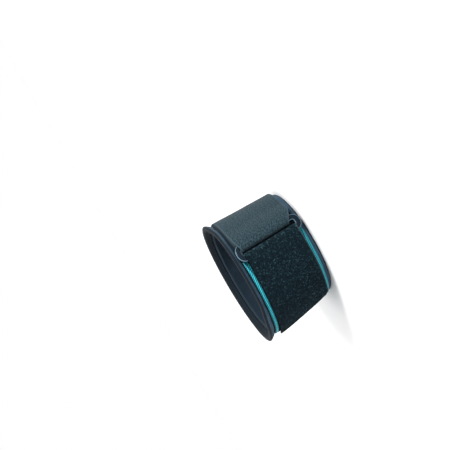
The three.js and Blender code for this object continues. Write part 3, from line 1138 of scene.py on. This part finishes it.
# Loops scattered over a stretch of the strap, from one sample of its path to another
def makePile(name, strip, first, last, side, seed):
    own = np.random.default_rng(seed)
    sample = np.sort(own.uniform(first, last, pile["loops"]))
    share = own.uniform(*pile["across"], pile["loops"])
    low = np.floor(sample).astype(int)
    part = (sample - low)[:, None]
    lengthAlong = mix(strip["length"][low], strip["length"][low + 1], part[:, 0])
    width = (strip["high"] - strip["low"])[low]
    ground = clothWander(strip, lengthAlong, share * width) + side * (strap["wall"] / 2 - pile["rooted"])
    ground = ground[:, None]

    def at(index, shares, offset):
        cut = {key: strip[key][index] for key in ("girth", "rise", "low", "high", "slant", "twist")}
        cut["directions"] = tuple(value[index] for value in strip["directions"])
        return onStrap(cut, shares[:, None], offset)[:, 0]

    start, end = at(low, share, ground), at(low + 1, share, ground)
    here = mix(start, end, part)
    raised = mix(at(low, share, ground + side), at(low + 1, share, ground + side), part)
    nudge = 0.01
    ahead = unit(end - start)
    aside = unit(at(low, np.clip(share + nudge, 0, 1), ground) - at(low, share - nudge, ground))
    nearTuft, paleness = tuftsAt(lengthAlong, share * width, seed)
    heading = own.uniform(0, 2 * math.pi, pile["loops"])
    lean = own.normal(0, pile["lean"], pile["loops"])
    along = ahead * np.cos(heading)[:, None] + aside * np.sin(heading)[:, None]
    turning = facing(along, unit(raised - here) + (ahead + aside) * lean[:, None] / 2)
    size = own.uniform(*pile["sizes"], pile["loops"]) * mix(0.8, 1.3, nearTuft)
    place = here + turning[:, :, 2] * (pile["height"] * mm * size)[:, None]
    shade = nearTuft * mix(pile["dullest"], 1, paleness**2) + own.normal(0, 0.06, pile["loops"])
    model = arch(3, pile["length"] * mm, pile["radius"] * mm, pile["height"] * mm)
    return copiesOf(model, name, place, turning * size[:, None, None], np.clip(shade, 0, 1))


pileThread = threadMaterial("pileThread", pile["dark"], pile["light"])
outerSamples = np.flatnonzero(closure["outer"])
bendStart = outerSamples[0] - pile["intoBend"]
halfway = (bendStart + outerSamples[-1]) // 2
underReach = girthOf(strap["endTurn"]) + strap["tipSlant"] + pile["underLap"]
underEnd = np.argmin(np.abs(closure["girth"][:bendStart] - underReach))
for name, first, last, side, seed in (
    ("pileUpper", bendStart, halfway, -1, 21),
    ("pileLower", halfway, outerSamples[-1] - pile["bareTip"], -1, 22),
    ("pileUnder", 0, underEnd, 1, 23),
):
    dress(makePile(name, closure, first, last, side, seed), pileThread, "dark_pile")
print("pile made")

# The hook patch between the strap's layers
hooks = {
    "wall": 0.5,
    "length": 34.0,
    "inset": 4.0,
    "pitch": 1.6,
    "colour": (0.008, 0.011, 0.015, 1),
}


def makeHookPatch():
    start = girthOf(strap["endTurn"]) + strap["tipFree"]
    rise = strap["underRise"] + strap["wall"] / 2 + seat["clearance"] + hooks["wall"] / 2
    girth, rise = level(start + hooks["length"], start, rise)
    half = (strap["width"] + strap["spread"]) / 2 - hooks["inset"]
    strip = plainStrip(girth, rise, strapCentre, half + 0 * girth)
    piece = makeStrip("hookPatch", strip, hooks["wall"], sag=0, seed=1)
    rows = knitMaterial("hookTape", hooks["colour"], hooks["pitch"], hooks["pitch"], sheen=0)
    dress(piece, rows, "hook_tape", "hook_patch")


makeHookPatch()
print("hook patch made")

# Stitches
thread = {
    "pitch": 2.9,
    "length": 2.3,
    "radius": 0.2,
    "dip": 0.32,
    "jitter": 0.04,
    "fromTapeEdge": 1.3,
    "fromSelvedge": 3.0,
    "boxTurns": (3, 22),  # from a strap's sewn end
    "sink": 0.06,
    "aboveTab": 0.25,  # over its mean face, clear of the cloth's unevenness
    "abovePile": 0.35,
    "dark": (0.014, 0.02, 0.03, 1),
    "light": (0.05, 0.065, 0.085, 1),
    "tabDark": (0.075, 0.105, 0.12, 1),  # the tab's own thread, paler than its webbing
    "tabLight": (0.14, 0.185, 0.21, 1),
}


# Stitches along a line given by turns, heights and rises, on its outer or inner side
def stitchPlaces(turn, height, rise, side=1):
    places = onSeat(turn, height, rise)
    raised = onSeat(turn, height, rise + side)
    lengths = np.concatenate([[0], np.cumsum(np.linalg.norm(np.diff(places, axis=0), axis=1))]) / mm
    count = max(1, int(lengths[-1] / thread["pitch"]))
    where = (np.arange(count) + 0.5) * lengths[-1] / count
    reach = 0.6  # each way, to find which way the line runs

    def sampled(points, where):
        return np.stack([np.interp(where, lengths, points[:, k]) for k in range(3)], -1)

    middle = sampled(places, where)
    ahead = sampled(places, where + reach) - sampled(places, where - reach)
    return middle, facing(ahead, sampled(raised, where) - middle)


def bindingStitches():
    turn = np.linspace(0, 360, 361)
    rows = []
    for atElbow in (False, True):
        depth = binding["width"] - thread["fromTapeEdge"]
        height = bandHeight - depth if atElbow else depth
        outer = float(outerRise(np.array(height)))
        inner = (outer if atElbow else 0) - float(wallAt(np.array(height)))
        line = dipped(turn, height + 0 * turn)
        rows.append(stitchPlaces(turn, line, outer + thread["sink"] + 0 * turn))
        rows.append(stitchPlaces(turn, line, inner - thread["sink"] + 0 * turn, -1))
    return rows


# A stitched box with a cross in it, which holds a strap's sewn end. Forwards is the side that the strap
# goes on to, 1 or -1.
def boxStitches(strip, forwards, rise):
    fromTurn, toTurn = (strip["anchorTurn"] + forwards * turn for turn in thread["boxTurns"])
    half = (strip["width"] + strip["spread"]) / 2 - thread["fromSelvedge"]
    low, high = strapCentre - half, strapCentre + half
    a, b, c, d = (fromTurn, low), (toTurn, low), (toTurn, high), (fromTurn, high)
    rows = []
    for (startTurn, start), (endTurn, end) in [(a, b), (b, c), (c, d), (d, a), (a, c), (b, d)]:
        share = np.linspace(0, 1, 24)
        rows.append(stitchPlaces(mix(startTurn, endTurn, share), mix(start, end, share), rise + 0 * share))
    return rows


def makeStitches():
    tabRise = tab["outerRise"] + tab["wall"] / 2 + thread["aboveTab"]
    strapRise = strap["underRise"] + strap["wall"] / 2 + thread["abovePile"]
    navy = threadMaterial("navyThread", thread["dark"], thread["light"], roughness=0.5, sheen=0.2)
    grey = threadMaterial("greyThread", thread["tabDark"], thread["tabLight"], roughness=0.5)
    groups = {
        "bindingStitches": ("binding_tape", navy, bindingStitches()),
        "tabStitches": ("grey_webbing", grey, boxStitches(tab, -1, tabRise)),
        "anchorStitches": ("dark_pile", navy, boxStitches(strap, 1, strapRise)),
    }
    for name, (slot, material, rows) in groups.items():
        place = np.concatenate([row[0] for row in rows])
        turning = np.concatenate([row[1] for row in rows])
        jitter = chance.normal(1, thread["jitter"], len(place))
        shade = chance.uniform(0, 1, len(place))
        model = arch(6, thread["length"] * mm, thread["radius"] * mm, thread["dip"] * mm)
        piece = copiesOf(model, name, place, turning * jitter[:, None, None], shade)
        smoothShade(piece)
        dress(piece, material, slot)


makeStitches()
print("stitches made")
